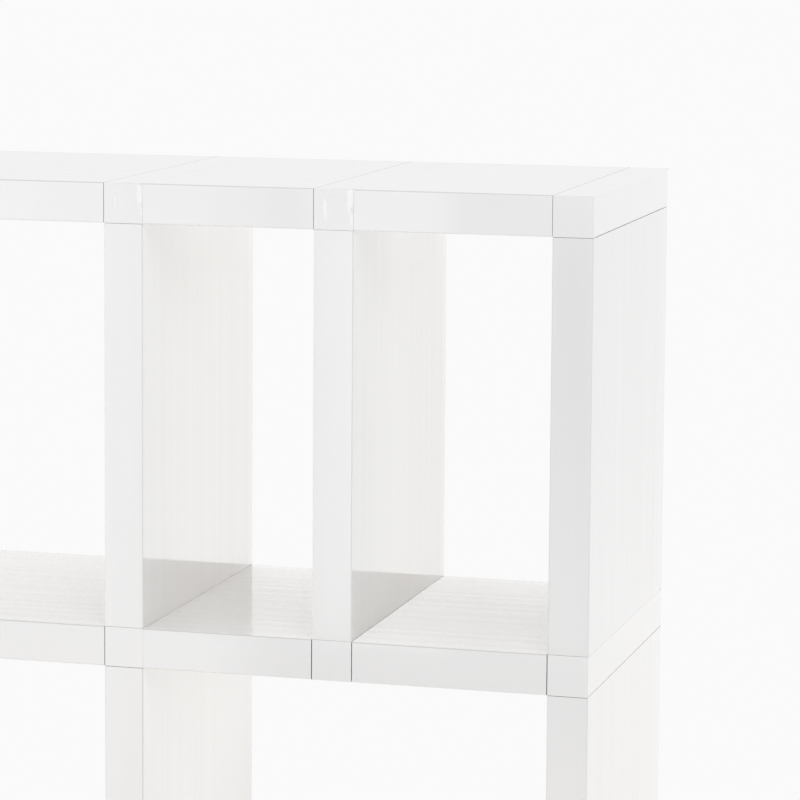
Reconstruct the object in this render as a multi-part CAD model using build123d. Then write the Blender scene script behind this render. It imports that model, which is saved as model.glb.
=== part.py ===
from build123d import *
import os
from math import sqrt

# Open cube storage unit: hollow gloss boards joined by square bars that run through the depth.
# Millimetres. The origin is on the floor under the middle, +X right, +Y to the back, +Z up.

# Layout
columns = 3
cell_width = 339.5          # clear width of one cube
cell_height = 333.0         # clear height of one cube
right_cell_width = 162.0    # clear width of the narrow cell right of the divider
board_thickness = 33.0      # boards and joint bars share this thickness
unit_depth = 300.0          # front edge to back edge of the boards

# Hollow extruded board
board_ease = 0.8            # small bevel along the long edges
skin = 2.4                  # wall behind the two broad faces
edge_wall = 3.0             # wall behind the front and back edges
web = 1.8                   # inner rib between two channels
channels = 5

# Hairline seams between the boards' ends and the joint bars
shelf_left_seam = 0.1
shelf_right_seam = 0.35
loose_shelf_seam = 0.6      # left seam of the short shelf under the narrow right cell
upright_top_seam = 0.15
upright_foot_seam = 0.1

# Joint bar, with a T slot in each side that carries a board or the feet
bar_ease = 0.6
slot_lip = 2.6              # wall left outside the slot's wide part
slot_width = 14.0
slot_depth = 4.4            # depth of the slot's wide part
neck_width = 7.0
bar_bore = 9.0              # square core that takes the end caps' plugs

# Tongue strip, sliding in a bar's slot and bonded into a board's routed end
slide_clear = 0.2
bond_clear = 0.15
tongue_reach = 22.0         # how far the tongue's box goes into the board
tongue_wall = 2.2
pocket_spare = 0.5          # routed depth left beyond the tongue

# End cap of a joint bar
cap_plate = 3.0
cap_crown = 0.3             # height of the pillowed face above the middles of its edges
plug_length = 14.0
plug_clear = 0.2

# Levelling foot and the nut plate that it screws into
foot_inset = 48.0           # screw axis in from the front and back edges of the boards
foot_height = 10.0
foot_across_flats = 24.0
foot_ease = 1.2
stud_radius = 3.0
stud_length = 20.0
thread_clear = 0.05
stud_hole_clear = 0.3

# Worked out from the values above
unit_width = columns * cell_width + (columns + 1) * board_thickness
half_board = board_thickness / 2
bar_length = unit_depth - 2 * cap_plate
pocket_width = unit_depth - 2 * edge_wall
pocket_thickness = board_thickness - 2 * skin
pocket_depth = tongue_reach + pocket_spare
channel_width = (pocket_width - (channels - 1) * web) / channels
slot_middle = slot_lip + slot_depth / 2
slide_width = slot_width - 2 * slide_clear
slide_depth = slot_depth - 2 * slide_clear

# Stations are the places along X where bars and uprights stand, from left to right
main_stations = [str(i + 1) for i in range(columns + 1)]
pitch = cell_width + board_thickness
station_x = {name: (i - columns / 2) * pitch for i, name in enumerate(main_stations)}
station_x["divider"] = station_x[main_stations[-1]] - board_thickness - right_cell_width
all_stations = sorted(station_x, key=station_x.get)

# Levels are rows of boards, and storeys are the rows of cells between them, from the floor up
levels = {"base_panel": main_stations, "middle_shelf": all_stations, "top_panel": all_stations}
storeys = {"lower": main_stations, "upper": all_stations}
level_z = [foot_height + half_board + j * (cell_height + board_thickness) for j in range(len(levels))]
foot_y = {"front": foot_inset - unit_depth / 2, "rear": unit_depth / 2 - foot_inset}
side_turn = {"up": 0, "left": 90, "down": 180, "right": 270}


def eased_rectangle(width, height, ease):
    """A rectangle with its corners cut by a small bevel."""
    outline = Rectangle(width, height)
    return chamfer(outline.vertices(), ease)


def along_depth(profile, length):
    """A profile in X and Z, run through the depth about the middle."""
    return extrude(Plane.XZ * profile, amount=length / 2, both=True)


def hollow_board(length):
    """A ribbed extrusion that stands on Z = 0, with both ends routed out for the tongues."""
    board = extrude(eased_rectangle(board_thickness, unit_depth, board_ease), amount=length)
    channel = extrude(Rectangle(pocket_thickness, channel_width), amount=length)
    for k in range(channels):
        board -= Pos(0, (k - (channels - 1) / 2) * (channel_width + web), 0) * channel
    pocket = extrude(Rectangle(pocket_thickness, pocket_width), amount=pocket_depth)
    board -= pocket
    board -= Pos(0, 0, length - pocket_depth) * pocket
    return board


def upright(station, low_level):
    """A board between two bars, one above the other."""
    length = cell_height - upright_foot_seam - upright_top_seam
    foot = level_z[low_level] + half_board + upright_foot_seam
    return Pos(station_x[station], 0, foot) * hollow_board(length)


def shelf(left, right, level, left_seam):
    """A board between two bars, side by side."""
    start = station_x[left] + half_board + left_seam
    length = station_x[right] - half_board - shelf_right_seam - start
    return Pos(start, 0, level_z[level]) * Rot(0, 90, 0) * hollow_board(length)


def joint_bar(open_sides):
    """A square bar through the depth, with a T slot or a closed chamber inside each side."""
    profile = eased_rectangle(board_thickness, board_thickness, bar_ease)
    profile -= Rectangle(bar_bore, bar_bore)
    chamber = Pos(0, half_board - slot_middle) * Rectangle(slot_width, slot_depth)
    neck = Pos(0, half_board) * Rectangle(neck_width, 2 * slot_middle)
    for side, turn in side_turn.items():
        profile -= Rot(0, 0, turn) * chamber
        if side in open_sides:
            profile -= Rot(0, 0, turn) * neck
    return along_depth(profile, bar_length)


def slotted_sides(stations, station, level):
    """Which sides of the bar at a station carry a board, or at the base the feet."""
    sides = []
    if station != stations[0]:
        sides.append("left")
    if station != stations[-1]:
        sides.append("right")
    standing = list(storeys.values())
    if level < len(standing) and station in standing[level]:
        sides.append("up")
    if level == 0 or station in standing[level - 1]:
        sides.append("down")
    return sides


def tongue(side, seam):
    """The strip that joins one side of a bar to the end of a board, placed about the bar's axis."""
    head = Pos(0, -slot_middle) * Rectangle(slide_width, slide_depth)
    neck_height = slot_middle + seam + tongue_wall / 2
    neck = Pos(0, neck_height / 2 - slot_middle) * Rectangle(neck_width - 2 * slide_clear, neck_height)
    box_width = pocket_thickness - 2 * bond_clear
    box = Rectangle(box_width, tongue_reach)
    box -= Rectangle(box_width - 2 * tongue_wall, tongue_reach - 2 * tongue_wall)
    strip = along_depth(head + neck, min(bar_length, pocket_width) - 2 * slide_clear)
    strip += along_depth(Pos(0, seam + tongue_reach / 2) * box, pocket_width - 2 * bond_clear)
    return Rot(0, -side_turn[side], 0) * Pos(0, 0, half_board) * strip


def end_cap():
    """A pillowed cover with a square plug; its back lies on Y = 0 and it faces -Y."""
    dome_radius = (half_board ** 2 + cap_crown ** 2) / (2 * cap_crown)
    blank = eased_rectangle(board_thickness, board_thickness, bar_ease)
    plate = extrude(Plane.XZ * blank, amount=cap_plate + cap_crown)
    plate &= Pos(0, dome_radius - cap_plate - cap_crown, 0) * Sphere(dome_radius)
    plug_side = bar_bore - 2 * plug_clear
    plug = extrude(Plane.XZ * Rectangle(plug_side, plug_side), amount=-plug_length)
    return plate + plug


def stud_hole():
    """The clearance hole for a foot's stud, from a base bar's lower slot into its core."""
    reach = half_board - slot_middle
    return Pos(0, 0, -reach / 2) * Cylinder(stud_radius + stud_hole_clear, reach)


def nut_plate():
    """A square nut plate that lies in the lower slot of a base bar, placed about the bar's axis."""
    plate = extrude(Rectangle(slide_width, slide_width), amount=slide_depth / 2, both=True)
    plate -= Cylinder(stud_radius + thread_clear, slide_depth)
    return Pos(0, 0, slot_middle - half_board) * plate


def levelling_foot():
    """A hexagonal foot with its stud, standing on Z = 0, wound right in."""
    base = extrude(RegularPolygon(foot_across_flats / sqrt(3), 6), amount=foot_height)
    rims = base.faces().sort_by(Axis.Z)
    base = chamfer(rims[0].edges() + rims[-1].edges(), foot_ease)
    stud = extrude(Circle(stud_radius), amount=foot_height + stud_length)
    return base + stud


nodes = {}
shelf_tongues = []
upright_tongues = []
front_caps = []
rear_caps = []
nut_plates = []

# Joint bars with their caps, and the boards that lie between them
for level, (board_name, stations) in enumerate(levels.items()):
    for station in stations:
        place = Pos(station_x[station], 0, level_z[level])
        bar = joint_bar(slotted_sides(stations, station, level))
        if level == 0:
            for y in foot_y.values():
                bar -= Pos(0, y, 0) * stud_hole()
        nodes[f"{board_name.split('_')[0]}_joint_bar_{station}"] = place * bar
        front_caps.append(place * Pos(0, -bar_length / 2, 0) * end_cap())
        rear_caps.append(place * Rot(0, 0, 180) * Pos(0, -bar_length / 2, 0) * end_cap())
    for number, (left, right) in enumerate(zip(stations, stations[1:]), start=1):
        loose = board_name == "middle_shelf" and left == "divider"
        left_seam = loose_shelf_seam if loose else shelf_left_seam
        nodes[f"{board_name}_{number}"] = shelf(left, right, level, left_seam)
        shelf_tongues.append(Pos(station_x[left], 0, level_z[level]) * tongue("right", left_seam))
        shelf_tongues.append(Pos(station_x[right], 0, level_z[level]) * tongue("left", shelf_right_seam))

# Uprights, and the divider that splits the upper right cube
for level, (storey, stations) in enumerate(storeys.items()):
    for station in stations:
        name = station if station == "divider" else f"upright_{station}"
        nodes[f"{storey}_{name}"] = upright(station, level)
        x = station_x[station]
        upright_tongues.append(Pos(x, 0, level_z[level]) * tongue("up", upright_foot_seam))
        upright_tongues.append(Pos(x, 0, level_z[level + 1]) * tongue("down", upright_top_seam))

# Levelling feet under both ends of every base bar
for station in main_stations:
    for end, y in foot_y.items():
        x = station_x[station]
        nodes[f"levelling_foot_{station}_{end}"] = Pos(x, y, 0) * levelling_foot()
        nut_plates.append(Pos(x, y, level_z[0]) * nut_plate())

nodes["shelf_tongues"] = Compound(children=shelf_tongues)
nodes["upright_tongues"] = Compound(children=upright_tongues)
nodes["front_caps"] = Compound(children=front_caps)
nodes["rear_caps"] = Compound(children=rear_caps)
nodes["nut_plates"] = Compound(children=nut_plates)

os.makedirs("parts", exist_ok=True)
for name, shape in nodes.items():
    export_step(shape, f"parts/{name}.step")
print(f"{len(nodes)} nodes, unit {unit_width} x {unit_depth} x {level_z[-1] + half_board} mm")
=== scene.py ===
import bmesh
import bpy
import math
from mathutils import Matrix, Vector


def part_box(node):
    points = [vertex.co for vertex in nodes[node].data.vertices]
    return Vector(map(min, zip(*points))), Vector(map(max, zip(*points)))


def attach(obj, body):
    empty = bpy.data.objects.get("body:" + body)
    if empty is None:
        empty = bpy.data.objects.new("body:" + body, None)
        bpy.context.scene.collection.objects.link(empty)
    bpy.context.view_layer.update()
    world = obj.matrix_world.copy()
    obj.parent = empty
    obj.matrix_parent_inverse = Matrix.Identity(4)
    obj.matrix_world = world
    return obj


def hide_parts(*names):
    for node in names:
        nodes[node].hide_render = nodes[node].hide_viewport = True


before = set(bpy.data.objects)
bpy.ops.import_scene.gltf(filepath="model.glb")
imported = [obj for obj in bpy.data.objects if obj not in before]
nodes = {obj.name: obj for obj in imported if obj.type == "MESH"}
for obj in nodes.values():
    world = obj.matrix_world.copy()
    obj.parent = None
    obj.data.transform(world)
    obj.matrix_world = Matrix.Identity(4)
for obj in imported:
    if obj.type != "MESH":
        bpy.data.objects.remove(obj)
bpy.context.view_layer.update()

scene = bpy.context.scene
scene.view_settings.view_transform = "Standard"
print("frame loaded:", len(nodes), "nodes")


# small helpers for materials

def newMaterial(name):
    made = bpy.data.materials.new(name)
    made.use_nodes = True
    tree = made.node_tree
    return made, tree, tree.nodes["Principled BSDF"]


def addNode(tree, kind, **settings):
    node = tree.nodes.new(kind)
    for key, value in settings.items():
        setattr(node, key, value)
    return node


def noiseAlong(tree, stretch, detail, rough):
    # noise on Object coordinates, pulled out along one axis by the stretch
    coord = addNode(tree, "ShaderNodeTexCoord")
    mapping = addNode(tree, "ShaderNodeMapping")
    mapping.inputs["Scale"].default_value = stretch
    noise = addNode(tree, "ShaderNodeTexNoise")
    noise.inputs["Scale"].default_value = 1.0
    noise.inputs["Detail"].default_value = detail
    noise.inputs["Roughness"].default_value = rough
    tree.links.new(coord.outputs["Object"], mapping.inputs["Vector"])
    tree.links.new(mapping.outputs["Vector"], noise.inputs["Vector"])
    return noise


def rampColour(tree, fac, low, high, start, end):
    ramp = addNode(tree, "ShaderNodeValToRGB")
    ramp.color_ramp.elements[0].position = start
    ramp.color_ramp.elements[0].color = (*low, 1)
    ramp.color_ramp.elements[1].position = end
    ramp.color_ramp.elements[1].color = (*high, 1)
    tree.links.new(fac, ramp.inputs["Fac"])
    return ramp.outputs["Color"]


def mapRange(tree, fac, low, high):
    span = addNode(tree, "ShaderNodeMapRange")
    span.inputs["To Min"].default_value = low
    span.inputs["To Max"].default_value = high
    tree.links.new(fac, span.inputs["Value"])
    return span.outputs["Result"]


# gloss boards: faint streaks run the way each board was extruded; bands of painted shade, painted highlight
# and painted seam shadow lie along some edges and ends

boardGloss = {
    "colour": (0.836, 0.806, 0.768),
    "noise": (4.0, 0.55),
    "ramp": (0.25, 0.75),
    "roughness": (0.05, 0.07),
    "ior": 1.5,
    "shelf": {"grain": (1.2, 95.0, 6.0), "spread": 0.025, "ripple": 0.0004},
    "upright": {"grain": (30.0, 95.0, 1.2), "spread": 0.021, "ripple": 0.00002},
}

boardLooks = {
    "panelGloss": {
        "run": "shelf", "shade": 1.0,
        "bands": ["panelTops", "panelUndersides", "panelEnds"],
    },
    "middleShelfGloss": {
        "run": "shelf", "shade": 1.0,
        "bands": ["shelfTops", "shelfUndersides", "leftShelfEnds", "rightShelfEnds", "looseEnd"],
    },
    "lowerUprightGloss": {
        "run": "upright", "shade": 1.0,
        "bands": ["lowerRights", "lowerHeads"],
    },
    "upperUprightGloss": {
        "run": "upright", "shade": 1.0,
        "bands": ["upperLefts", "upperHeads", "upperFeet"],
    },
    # the end upright's colour is painted shade, a little darker than the other boards
    "endUprightGloss": {
        "run": "upright", "shade": 0.965,
        "bands": ["endRight", "upperHeads", "upperFeet"],
    },
}

# the boards' fronts carry painted shade along some bevels and a painted highlight along others, and a
# painted shadow hairline along the seams at some board ends
# back: from the front to the band's middle, within: half its depth, reach: how far it goes from the end
bandKinds = {
    # the first two kinds are painted shade on bevels, the third a painted highlight on bevels, the last a
    # painted shadow line in the seams
    "topEdge": {"colour": (0.68, 0.656, 0.625), "back": 0.0004, "within": 0.00038, "reach": 0.0009},
    "rightEdge": {"colour": (0.76, 0.733, 0.698), "back": 0.0004, "within": 0.00038, "reach": 0.0009},
    "paleEdge": {"colour": (0.99, 0.955, 0.91), "back": 0.0004, "within": 0.00038, "reach": 0.0009},
    "sawnEnd": {"colour": (0.05, 0.048, 0.045), "back": 0.0, "within": 0.001, "reach": 0.0001},
}

# which boards get each painted band, by how their names start, the axis, and the low (0) or high (1) end
# along it
frontBands = {
    "panelTops": {"kind": "topEdge", "boards": ("base_panel", "top_panel"), "axis": "Z", "end": 1},
    "panelUndersides": {"kind": "paleEdge", "boards": ("base_panel", "top_panel"), "axis": "Z", "end": 0},
    "panelEnds": {
        "kind": "sawnEnd", "boards": ("top_panel_2", "top_panel_3"), "axis": "X", "end": 1, "reach": 0.00005,
    },
    "shelfTops": {"kind": "topEdge", "boards": "middle_shelf", "axis": "Z", "end": 1},
    "shelfUndersides": {"kind": "paleEdge", "boards": "middle_shelf", "axis": "Z", "end": 0},
    "leftShelfEnds": {
        "kind": "sawnEnd", "boards": ("middle_shelf_1", "middle_shelf_2"), "axis": "X", "end": 1,
        "reach": 0.00012,
    },
    "rightShelfEnds": {
        "kind": "sawnEnd", "boards": ("middle_shelf_3", "middle_shelf_4"), "axis": "X", "end": 1,
        "reach": 0.0003,
    },
    "looseEnd": {"kind": "sawnEnd", "boards": "middle_shelf_4", "axis": "X", "end": 0},
    "lowerRights": {"kind": "rightEdge", "boards": "lower_upright", "axis": "X", "end": 1},
    "lowerHeads": {"kind": "sawnEnd", "boards": "lower_upright", "axis": "Z", "end": 1, "reach": 0.00014},
    "upperLefts": {"kind": "paleEdge", "boards": "upper_", "axis": "X", "end": 0},
    "upperHeads": {"kind": "sawnEnd", "boards": "upper_", "axis": "Z", "end": 1},
    "upperFeet": {"kind": "sawnEnd", "boards": "upper_", "axis": "Z", "end": 0},
    "endRight": {"kind": "rightEdge", "boards": "upper_upright_4", "axis": "X", "end": 1},
}


def boardPlaces(boards, axis, end):
    # where the named boards begin or end along the axis
    found = [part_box(n)[end]["XYZ".index(axis)] for n in nodes if n.startswith(boards)]
    return sorted({round(place, 6) for place in found})


def closeTo(tree, split, axis, place, within):
    close = addNode(tree, "ShaderNodeMath", operation="COMPARE")
    close.inputs[1].default_value = place
    close.inputs[2].default_value = within
    tree.links.new(split.outputs[axis], close.inputs[0])
    return close.outputs["Value"]


# paints a band of shade, highlight or seam shadow colour onto the board's front
def shadeBand(tree, split, colour, band):
    kind = bandKinds[band["kind"]]
    front = boardPlaces(band["boards"], "Y", 0)[0]
    atFront = closeTo(tree, split, "Y", front + kind["back"], kind["within"])
    for place in boardPlaces(band["boards"], band["axis"], band["end"]):
        both = addNode(tree, "ShaderNodeMath", operation="MULTIPLY")
        tree.links.new(atFront, both.inputs[0])
        atEnd = closeTo(tree, split, band["axis"], place, band.get("reach", kind["reach"]))
        tree.links.new(atEnd, both.inputs[1])
        mix = addNode(tree, "ShaderNodeMixRGB")
        mix.inputs["Color2"].default_value = (*kind["colour"], 1)
        tree.links.new(both.outputs["Value"], mix.inputs["Fac"])
        tree.links.new(colour, mix.inputs["Color1"])
        colour = mix.outputs["Color"]
    return colour


def streakedGloss(name):
    d = boardGloss
    look = boardLooks[name]
    run = d[look["run"]]
    made, tree, shader = newMaterial(name)
    streak = noiseAlong(tree, run["grain"], *d["noise"])
    # a shade factor below 1 darkens the colour as painted shade
    pale = [c * look["shade"] * (1 + run["spread"]) for c in d["colour"]]
    dull = [c * look["shade"] * (1 - run["spread"]) for c in d["colour"]]
    colour = rampColour(tree, streak.outputs["Fac"], dull, pale, *d["ramp"])
    coord = addNode(tree, "ShaderNodeTexCoord")
    split = addNode(tree, "ShaderNodeSeparateXYZ")
    tree.links.new(coord.outputs["Object"], split.inputs["Vector"])
    for band in look["bands"]:
        colour = shadeBand(tree, split, colour, frontBands[band])
    tree.links.new(colour, shader.inputs["Base Color"])
    tree.links.new(mapRange(tree, streak.outputs["Fac"], *d["roughness"]), shader.inputs["Roughness"])
    bump = addNode(tree, "ShaderNodeBump")
    bump.inputs["Distance"].default_value = run["ripple"]
    tree.links.new(streak.outputs["Fac"], bump.inputs["Height"])
    tree.links.new(bump.outputs["Normal"], shader.inputs["Normal"])
    shader.inputs["IOR"].default_value = d["ior"]
    return made


# joint bars and caps: the same gloss, nearly plain, with painted shade darkening the sunk caps a little

plainGlossLook = {
    "pale": (0.844, 0.814, 0.776),
    "dull": (0.832, 0.802, 0.764),
    "patchesPerMetre": 22.0,
    "noise": (2.0, 0.5),
    "ramp": (0.3, 0.7),
    # the sunk caps' shade factor below 1 is painted shade
    "shade": {"barGloss": 1.0, "capGloss": 1.0, "sunkCapGloss": 0.984},
    "roughness": {"barGloss": (0.045, 0.065), "capGloss": (0.05, 0.07), "sunkCapGloss": (0.16, 0.19)},
    "ior": 1.5,
}


def plainGloss(name):
    d = plainGlossLook
    made, tree, shader = newMaterial(name)
    cloud = noiseAlong(tree, [d["patchesPerMetre"]] * 3, *d["noise"])
    pale = [c * d["shade"][name] for c in d["pale"]]
    dull = [c * d["shade"][name] for c in d["dull"]]
    colour = rampColour(tree, cloud.outputs["Fac"], dull, pale, *d["ramp"])
    tree.links.new(colour, shader.inputs["Base Color"])
    tree.links.new(mapRange(tree, cloud.outputs["Fac"], *d["roughness"][name]), shader.inputs["Roughness"])
    shader.inputs["IOR"].default_value = d["ior"]
    return made


# feet, tongues and nut plates

mouldedGrain = {"noise": (3.0, 0.6), "ramp": (0.3, 0.7), "bumpStrength": 0.15, "bumpDistance": 0.0002}

mouldedLooks = {
    "footGrey": {"low": (0.27, 0.27, 0.28), "high": (0.33, 0.33, 0.34), "grain": 900.0,
                 "roughness": (0.45, 0.62), "metallic": 0.0},
    "tonguePlastic": {"low": (0.68, 0.68, 0.66), "high": (0.75, 0.75, 0.73), "grain": 300.0,
                      "roughness": (0.4, 0.55), "metallic": 0.0},
    "nutSteel": {"low": (0.56, 0.56, 0.57), "high": (0.68, 0.68, 0.67), "grain": 500.0,
                 "roughness": (0.28, 0.45), "metallic": 1.0},
}


def mouldedLook(name):
    d = mouldedLooks[name]
    made, tree, shader = newMaterial(name)
    grain = noiseAlong(tree, [d["grain"]] * 3, *mouldedGrain["noise"])
    colour = rampColour(tree, grain.outputs["Fac"], d["low"], d["high"], *mouldedGrain["ramp"])
    tree.links.new(colour, shader.inputs["Base Color"])
    tree.links.new(mapRange(tree, grain.outputs["Fac"], *d["roughness"]), shader.inputs["Roughness"])
    bump = addNode(tree, "ShaderNodeBump")
    bump.inputs["Strength"].default_value = mouldedGrain["bumpStrength"]
    bump.inputs["Distance"].default_value = mouldedGrain["bumpDistance"]
    tree.links.new(grain.outputs["Fac"], bump.inputs["Height"])
    tree.links.new(bump.outputs["Normal"], shader.inputs["Normal"])
    shader.inputs["Metallic"].default_value = d["metallic"]
    return made


boardFinishes = {name: streakedGloss(name) for name in boardLooks}
barGloss = plainGloss("barGloss")
capGlosses = {"sunk": plainGloss("sunkCapGloss"), "flat": plainGloss("capGloss")}
footGrey = mouldedLook("footGrey")
tonguePlastic = mouldedLook("tonguePlastic")
nutSteel = mouldedLook("nutSteel")


def finishOf(nodeName):
    if "levelling_foot" in nodeName:
        return footGrey
    if nodeName == "nut_plates":
        return nutSteel
    if "tongues" in nodeName:
        return tonguePlastic
    if "caps" in nodeName:
        return capGlosses["flat"]
    if "joint_bar" in nodeName:
        return barGloss
    if nodeName == "upper_upright_4":
        return boardFinishes["endUprightGloss"]
    if nodeName.startswith("upper_"):
        return boardFinishes["upperUprightGloss"]
    if nodeName.startswith("lower_"):
        return boardFinishes["lowerUprightGloss"]
    if nodeName.startswith("middle_"):
        return boardFinishes["middleShelfGloss"]
    return boardFinishes["panelGloss"]


for nodeName, cadObject in nodes.items():
    cadObject.data.materials.clear()
    cadObject.data.materials.append(finishOf(nodeName))
# the photo's right shelf doesn't mirror the divider, nor, then, the tongues inside it
for nodeName in ("upper_divider", "upright_tongues"):
    nodes[nodeName].visible_glossy = False
print("materials on", len(nodes), "nodes")


# end caps of the joint bars: a plate with eased edges and a plug behind; some sink in along the right edge

capShape = {
    "side": 0.033,
    "thickness": {"sunk": 0.0032, "flat": 0.003},
    "edgeRound": 0.00015,
    "rightReach": {"sunk": 0.00008, "flat": 0.0},      # how far the right edge stands out past the bar
    "roundSteps": 3,
    "gridCuts": 31,
    "dents": {
        "sunk": [
            {"x": 0.0164, "span": (0.0, 0.0145), "depth": 0.00076, "width": 0.005},
            {"x": 0.0164, "span": (-0.0105, 0.0), "depth": 0.0004, "width": 0.0026},
            {"x": -0.0056, "span": (-0.007, 0.007), "depth": 0.00035, "width": 0.0023},
        ],
        "flat": [],
    },
    "plugSide": 0.0086,
    "plugLength": 0.014,
    "smoothAngle": 12.0,
}


def startEdit(piece):
    bpy.ops.object.select_all(action="DESELECT")
    piece.select_set(True)
    bpy.context.view_layer.objects.active = piece
    bpy.ops.object.mode_set(mode="EDIT")


def pick(piece, kind, test):
    # selects the vertices, edges or faces that pass the test, and nothing else
    bpy.ops.mesh.select_mode(type=kind)
    bpy.ops.mesh.select_all(action="DESELECT")
    shape = bmesh.from_edit_mesh(piece.data)
    for part in {"VERT": shape.verts, "EDGE": shape.edges, "FACE": shape.faces}[kind]:
        part.select_set(test(part))
    bmesh.update_edit_mesh(piece.data)


def capModel(look):
    # back on y = 0, facing -Y
    d = capShape
    thickness = d["thickness"][look]
    small = 1e-5        # slack when a vertex is looked for on a plane
    squareOn = 0.99     # a face whose normal has this much of Y lies across it
    bpy.ops.object.select_all(action="DESELECT")
    bpy.ops.mesh.primitive_cube_add(size=1)
    cap = bpy.context.active_object
    startEdit(cap)
    bpy.ops.mesh.select_all(action="SELECT")
    bpy.ops.transform.resize(value=(d["side"], thickness, d["side"]))
    bpy.ops.transform.translate(value=(0, -thickness / 2, 0))
    pick(cap, "VERT", lambda v: v.co.x > 0)
    bpy.ops.transform.translate(value=(d["rightReach"][look], 0, 0))
    pick(cap, "EDGE", lambda e: any(v.co.y < small - thickness for v in e.verts))
    bpy.ops.mesh.bevel(offset=d["edgeRound"], segments=d["roundSteps"], profile=0.5)
    if d["dents"][look]:
        pick(cap, "FACE", lambda f: f.normal.y < -squareOn)
        bpy.ops.mesh.subdivide(number_cuts=d["gridCuts"])
    halfCell = d["side"] / 2 / (d["gridCuts"] + 1)
    for dent in d["dents"][look]:
        low, high = dent["span"]
        pick(cap, "VERT", lambda v: v.co.y < -thickness / 2 and abs(v.co.x - dent["x"]) < halfCell
             and low < v.co.z < high)
        bpy.ops.transform.translate(value=(0, dent["depth"], 0), use_proportional_edit=True,
                                    proportional_edit_falloff="LINEAR", proportional_size=dent["width"])
    pick(cap, "FACE", lambda f: f.normal.y > squareOn)
    bpy.ops.mesh.inset(thickness=(d["side"] - d["plugSide"]) / 2)
    bpy.ops.mesh.extrude_region_move(TRANSFORM_OT_translate={"value": (0, d["plugLength"], 0)})
    bpy.ops.mesh.select_all(action="SELECT")
    bpy.ops.mesh.normals_make_consistent(inside=False)
    bpy.ops.object.mode_set(mode="OBJECT")
    bpy.ops.object.shade_smooth_by_angle(angle=math.radians(d["smoothAngle"]))
    cap.data.materials.append(capGlosses[look])
    return cap


def placeCap(model, name, place, node):
    cap = model.copy()
    cap.data = model.data.copy()
    cap.name = name
    cap.data.transform(place)
    scene.collection.objects.link(cap)
    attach(cap, "unit")
    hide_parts(node)


def endCaps():
    models = {look: capModel(look) for look in capShape["dents"]}
    sunkBars = ("top_joint_bar_2", "top_joint_bar_3", "top_joint_bar_divider")
    bars = [n for n in nodes if "joint_bar" in n]
    for bar in bars:
        low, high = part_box(bar)
        middle = (low + high) / 2
        ending = bar.replace("_joint_bar", "")
        look = "sunk" if bar in sunkBars else "flat"
        frontPlace = Matrix.Translation((middle.x, low.y, middle.z))
        placeCap(models[look], "frontCap_" + ending, frontPlace, "front_caps")
        rearPlace = Matrix.Translation((middle.x, high.y, middle.z)) @ Matrix.Rotation(math.pi, 4, "Z")
        placeCap(models["flat"], "rearCap_" + ending, rearPlace, "rear_caps")
    for model in models.values():
        bpy.data.objects.remove(model)
    print("caps on both ends of", len(bars), "bars")


endCaps()


# 1 for rays from the camera, in a mirror or through glass, and 0 for the rays that carry light

def seenDirectly(tree):
    path = addNode(tree, "ShaderNodeLightPath")
    mirror = addNode(tree, "ShaderNodeMath", operation="MAXIMUM")
    tree.links.new(path.outputs["Is Glossy Ray"], mirror.inputs[0])
    tree.links.new(path.outputs["Is Transmission Ray"], mirror.inputs[1])
    seen = addNode(tree, "ShaderNodeMath", operation="MAXIMUM")
    tree.links.new(path.outputs["Is Camera Ray"], seen.inputs[0])
    tree.links.new(mirror.outputs["Value"], seen.inputs[1])
    return seen.outputs["Value"]


# floor, which fades into the white background away from the unit

floorLook = {
    "radius": 0.84,
    "widthRatio": 1.6,
    "rimPoints": 96,
    "colour": (0.840, 0.808, 0.765),
    "roughness": 0.9,
    "shine": 0.0,
    "background": 0.956,
    "fadeStart": 0.42,
    "fadeEnd": 0.80,
}


def paleFloor():
    d = floorLook
    bpy.ops.object.select_all(action="DESELECT")
    bpy.ops.mesh.primitive_circle_add(radius=d["radius"], vertices=d["rimPoints"], fill_type="NGON")
    floor = bpy.context.active_object
    floor.name = "floor"
    bpy.ops.object.mode_set(mode="EDIT")
    bpy.ops.mesh.select_all(action="SELECT")
    bpy.ops.transform.resize(value=(d["widthRatio"], 1, 1))
    bpy.ops.object.mode_set(mode="OBJECT")
    made, tree, shader = newMaterial("floorPale")
    shader.inputs["Base Color"].default_value = (*d["colour"], 1)
    shader.inputs["Roughness"].default_value = d["roughness"]
    shader.inputs["Specular IOR Level"].default_value = d["shine"]
    coord = addNode(tree, "ShaderNodeTexCoord")
    mapping = addNode(tree, "ShaderNodeMapping")
    mapping.inputs["Scale"].default_value = (1 / d["widthRatio"], 1, 1)
    tree.links.new(coord.outputs["Object"], mapping.inputs["Vector"])
    reach = addNode(tree, "ShaderNodeVectorMath", operation="LENGTH")
    tree.links.new(mapping.outputs["Vector"], reach.inputs[0])
    fade = addNode(tree, "ShaderNodeMapRange", interpolation_type="SMOOTHSTEP")
    fade.inputs["From Min"].default_value = d["fadeStart"]
    fade.inputs["From Max"].default_value = d["fadeEnd"]
    tree.links.new(reach.outputs["Value"], fade.inputs["Value"])
    seen = addNode(tree, "ShaderNodeMath", operation="MULTIPLY")
    tree.links.new(seenDirectly(tree), seen.inputs[0])
    tree.links.new(fade.outputs["Result"], seen.inputs[1])
    glow = addNode(tree, "ShaderNodeEmission")
    glow.inputs["Color"].default_value = (d["background"],) * 3 + (1,)
    mix = addNode(tree, "ShaderNodeMixShader")
    tree.links.new(seen.outputs["Value"], mix.inputs["Fac"])
    tree.links.new(shader.outputs["BSDF"], mix.inputs[1])
    tree.links.new(glow.outputs["Emission"], mix.inputs[2])
    tree.links.new(mix.outputs["Shader"], tree.nodes["Material Output"].inputs["Surface"])
    floor.data.materials.append(made)


paleFloor()


# world: white to the camera and in reflections, softer as a light

worldLook = {"light": (0.762, 0.793, 0.843), "seen": 0.956}


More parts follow.
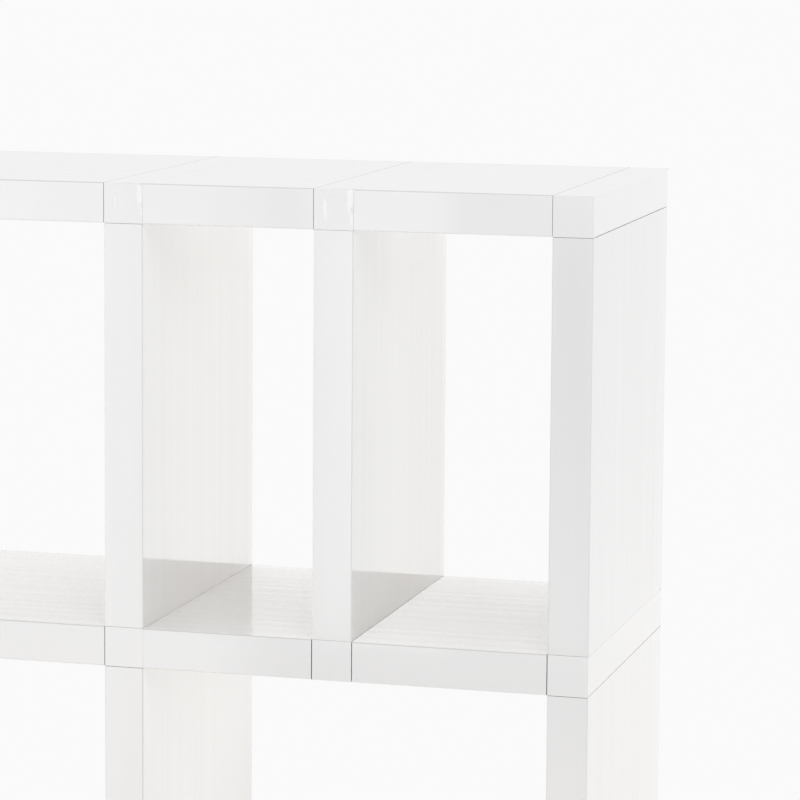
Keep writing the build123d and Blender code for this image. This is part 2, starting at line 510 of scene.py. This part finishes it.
def studioWorld():
    d = worldLook
    world = bpy.data.worlds.new("studio")
    world.use_nodes = True
    scene.world = world
    tree = world.node_tree
    soft = tree.nodes["Background"]
    soft.inputs["Color"].default_value = (*d["light"], 1)
    white = addNode(tree, "ShaderNodeBackground")
    white.inputs["Color"].default_value = (d["seen"],) * 3 + (1,)
    mix = addNode(tree, "ShaderNodeMixShader")
    tree.links.new(seenDirectly(tree), mix.inputs["Fac"])
    tree.links.new(soft.outputs["Background"], mix.inputs[1])
    tree.links.new(white.outputs["Background"], mix.inputs[2])
    tree.links.new(mix.outputs["Shader"], tree.nodes["World Output"].inputs["Surface"])


studioWorld()


# soft boxes, given by middle, the point they face, size, and how bright their face is

softBoxes = {
    "leftStrip": {
        "middle": (-1.61, -3.5, 0.2), "aim": (-1.61, 0, 0.2), "size": (1.6, 2.8), "bright": 1.25,
    },
    "leftStripEdge": {
        "middle": (-0.765, -3.5, 0.2), "aim": (-0.765, 0, 0.2), "size": (0.09, 2.8), "bright": 0.65,
    },
    "highStrip": {
        "middle": (-0.513, -3.5, 0.44), "aim": (-0.513, 0, 0.44), "size": (0.254, 1.52), "bright": 1.5,
    },
    "farStrip": {
        "middle": (-1.6, -3.4, 0.47), "aim": (-1.6, 0, 0.47), "size": (0.96, 0.25), "bright": 0.4,
        "glossOnly": True,
    },
    "capLight": {
        "middle": (0.2725, -3.5, 0.3), "aim": (0.2725, 0, 0.3), "size": (0.665, 1.8), "bright": 3.3,
        "glossOnly": True,
    },
    "frontFill": {
        "middle": (1.0, -2.0, 2.6), "aim": (0.2, 0, 0.45), "size": (1.6, 1.6), "bright": 1.92,
        "tint": (0.910, 0.947, 1.0), "diffuseOnly": True,
    },
    "backFill": {
        "middle": (0.9, 1.6, 1.0), "aim": (0.4, 0, 0.42), "size": (1.2, 1.0), "bright": 0.9,
        "diffuseOnly": True,
    },
    "rightSide": {
        "middle": (3.2, 0.9, 1.0), "aim": (0.575, 0, 0.45), "size": (2.4, 2.4), "bright": 1.08,
        "tint": (1.0, 0.982, 1.0),
    },
}


def addSoftBox(name, d):
    lamp = bpy.data.lights.new(name, "AREA")
    lamp.shape = "RECTANGLE"
    lamp.size, lamp.size_y = d["size"]
    lamp.energy = d["bright"] * math.pi * d["size"][0] * d["size"][1]
    lamp.color = d.get("tint", (1, 1, 1))
    box = bpy.data.objects.new(name, lamp)
    scene.collection.objects.link(box)
    box.location = d["middle"]
    box.rotation_euler = (Vector(d["aim"]) - Vector(d["middle"])).to_track_quat("-Z", "Y").to_euler()
    box.visible_camera = False
    box.visible_diffuse = not d.get("glossOnly", False)
    box.visible_glossy = not d.get("diffuseOnly", False)


for name, d in softBoxes.items():
    addSoftBox(name, d)
print("floor, world and", len(softBoxes), "soft boxes")


# graded cards that only mirror rays see, four behind the unit and three in front of it
# the (place, brightness) pairs across and upward multiply, and the outer ones are the card's edges

gradedCards = {
    "shelfCard": {
        "y": 0.8,
        "across": [(-2.0, 1.325), (-0.05, 1.325), (0.03, 1.435), (0.15, 1.435), (0.25, 1.31), (0.305, 1.38),
                   (0.395, 1.38)],
        "upward": [(-0.65, 1.0), (0.53, 1.0), (0.62, 0.89), (0.75, 0.89)],
    },
    "sideCard": {
        "y": 0.8, "tint": (0.975, 0.995, 1.0),
        "across": [(0.395, 1.923), (0.405, 1.923), (0.442, 2.861), (0.475, 2.984), (0.535, 2.515),
                   (0.546, 1.554), (0.575, 2.219), (0.60, 2.454), (0.65, 1.998), (0.69, 1.998)],
        "upward": [(0.21, 0.82), (0.42, 0.81), (0.55, 0.85), (0.61, 0.868), (0.635, 0.915), (0.655, 0.965),
                   (0.75, 1.0)],
    },
    "lowSideCard": {
        "y": 0.8, "tint": (0.975, 0.995, 1.0),
        "across": [(0.395, 1.923), (0.405, 1.923), (0.44, 2.688), (0.48, 3.033), (0.50, 3.009),
                   (0.535, 2.811), (0.69, 2.811)],
        "upward": [(-0.65, 0.68), (0.0, 0.68), (0.18, 0.82), (0.21, 0.82)],
    },
    "endCard": {
        "y": 0.8,
        "across": [(0.69, 1.05), (0.82, 1.05)],
        "upward": [(-0.65, 0.95), (0.20, 0.96), (0.25, 1.0), (0.45, 0.94), (0.66, 0.91), (0.75, 0.91)],
    },
    "lowCard": {
        "y": -3.6,
        "across": [(-0.8, 0.956), (-0.1, 0.956)],
        "upward": [(-0.57, 1.0), (-0.44, 0.45), (-0.32, 0.45), (-0.17, 1.0)],
    },
    "frontFlag": {
        "y": -3.5,
        "across": [(-0.2355, 1.6), (-0.1205, 1.6)],
        "upward": [(-0.32, 1.0), (-0.13, 0.6), (0.15, 0.12), (0.30, 0.0), (0.41, 0.18)],
    },
    "topFlag": {
        "y": -3.45,
        "across": [(-0.64, 2.1), (-0.39, 2.1), (-0.38, 0.55), (-0.22, 0.55), (-0.12, 0.75)],
        "upward": [(0.41, 1.0), (0.50, 1.0)],
    },
}


def gradeRamp(tree, place, grades, tint):
    # a ramp along one axis, scaled to its brightest pair
    start, end = grades[0][0], grades[-1][0]
    peak = max(bright for position, bright in grades)
    along = addNode(tree, "ShaderNodeMapRange")
    along.inputs["From Min"].default_value = start
    along.inputs["From Max"].default_value = end
    tree.links.new(place, along.inputs["Value"])
    ramp = addNode(tree, "ShaderNodeValToRGB")
    stops = ramp.color_ramp.elements
    while len(stops) < len(grades):
        stops.new(0.5)
    for i, (position, bright) in enumerate(grades):
        stops[i].position = (position - start) / (end - start)
        stops[i].color = [bright / peak * t for t in tint] + [1]
    tree.links.new(along.outputs["Result"], ramp.inputs["Fac"])
    return ramp.outputs["Color"], peak


def addGradedCard(name, d):
    left, right = d["across"][0][0], d["across"][-1][0]
    low, high = d["upward"][0][0], d["upward"][-1][0]
    bpy.ops.object.select_all(action="DESELECT")
    bpy.ops.mesh.primitive_plane_add(size=1)
    card = bpy.context.active_object
    card.name = name
    bpy.ops.object.mode_set(mode="EDIT")
    bpy.ops.mesh.select_all(action="SELECT")
    bpy.ops.transform.resize(value=(right - left, high - low, 1))
    bpy.ops.transform.rotate(value=math.pi / 2, orient_axis="X", center_override=(0, 0, 0))
    bpy.ops.transform.translate(value=((left + right) / 2, d["y"], (low + high) / 2))
    bpy.ops.object.mode_set(mode="OBJECT")
    made, tree, shader = newMaterial(name)
    tree.nodes.remove(shader)
    coord = addNode(tree, "ShaderNodeTexCoord")
    split = addNode(tree, "ShaderNodeSeparateXYZ")
    tree.links.new(coord.outputs["Object"], split.inputs["Vector"])
    across, acrossPeak = gradeRamp(tree, split.outputs["X"], d["across"], d.get("tint", (1, 1, 1)))
    upward, upwardPeak = gradeRamp(tree, split.outputs["Z"], d["upward"], (1, 1, 1))
    both = addNode(tree, "ShaderNodeVectorMath", operation="MULTIPLY")
    tree.links.new(across, both.inputs[0])
    tree.links.new(upward, both.inputs[1])
    glow = addNode(tree, "ShaderNodeEmission")
    glow.inputs["Strength"].default_value = acrossPeak * upwardPeak
    tree.links.new(both.outputs["Vector"], glow.inputs["Color"])
    tree.links.new(glow.outputs["Emission"], tree.nodes["Material Output"].inputs["Surface"])
    card.data.materials.append(made)
    card.visible_camera = False
    card.visible_diffuse = False
    card.visible_shadow = False


for name, d in gradedCards.items():
    addGradedCard(name, d)
print("graded cards:", len(gradedCards))


# camera at the photo's viewing angle, framed for an 800 x 800 image

cameraLook = {
    "lens": 165.53,
    "sensorWidth": 36.0,
    "place": (1.17388, -2.95374, 1.01858),
    "yaw": 16.3223,      # turned towards -X
    "pitch": 6.8138,     # down
    "roll": 0.2528,
    "shift": (0.1, -0.1),
}


def photoCamera():
    d = cameraLook
    lens = bpy.data.cameras.new("photoCamera")
    lens.lens = d["lens"]
    lens.sensor_width = d["sensorWidth"]
    lens.shift_x, lens.shift_y = d["shift"]
    camera = bpy.data.objects.new("photoCamera", lens)
    scene.collection.objects.link(camera)
    turn = Matrix.Rotation(math.radians(d["yaw"]), 4, "Z")
    turn = turn @ Matrix.Rotation(math.radians(90 - d["pitch"]), 4, "X")
    turn = turn @ Matrix.Rotation(math.radians(d["roll"]), 4, "Z")
    camera.matrix_world = Matrix.Translation(d["place"]) @ turn
    scene.camera = camera


photoCamera()
print("camera set")
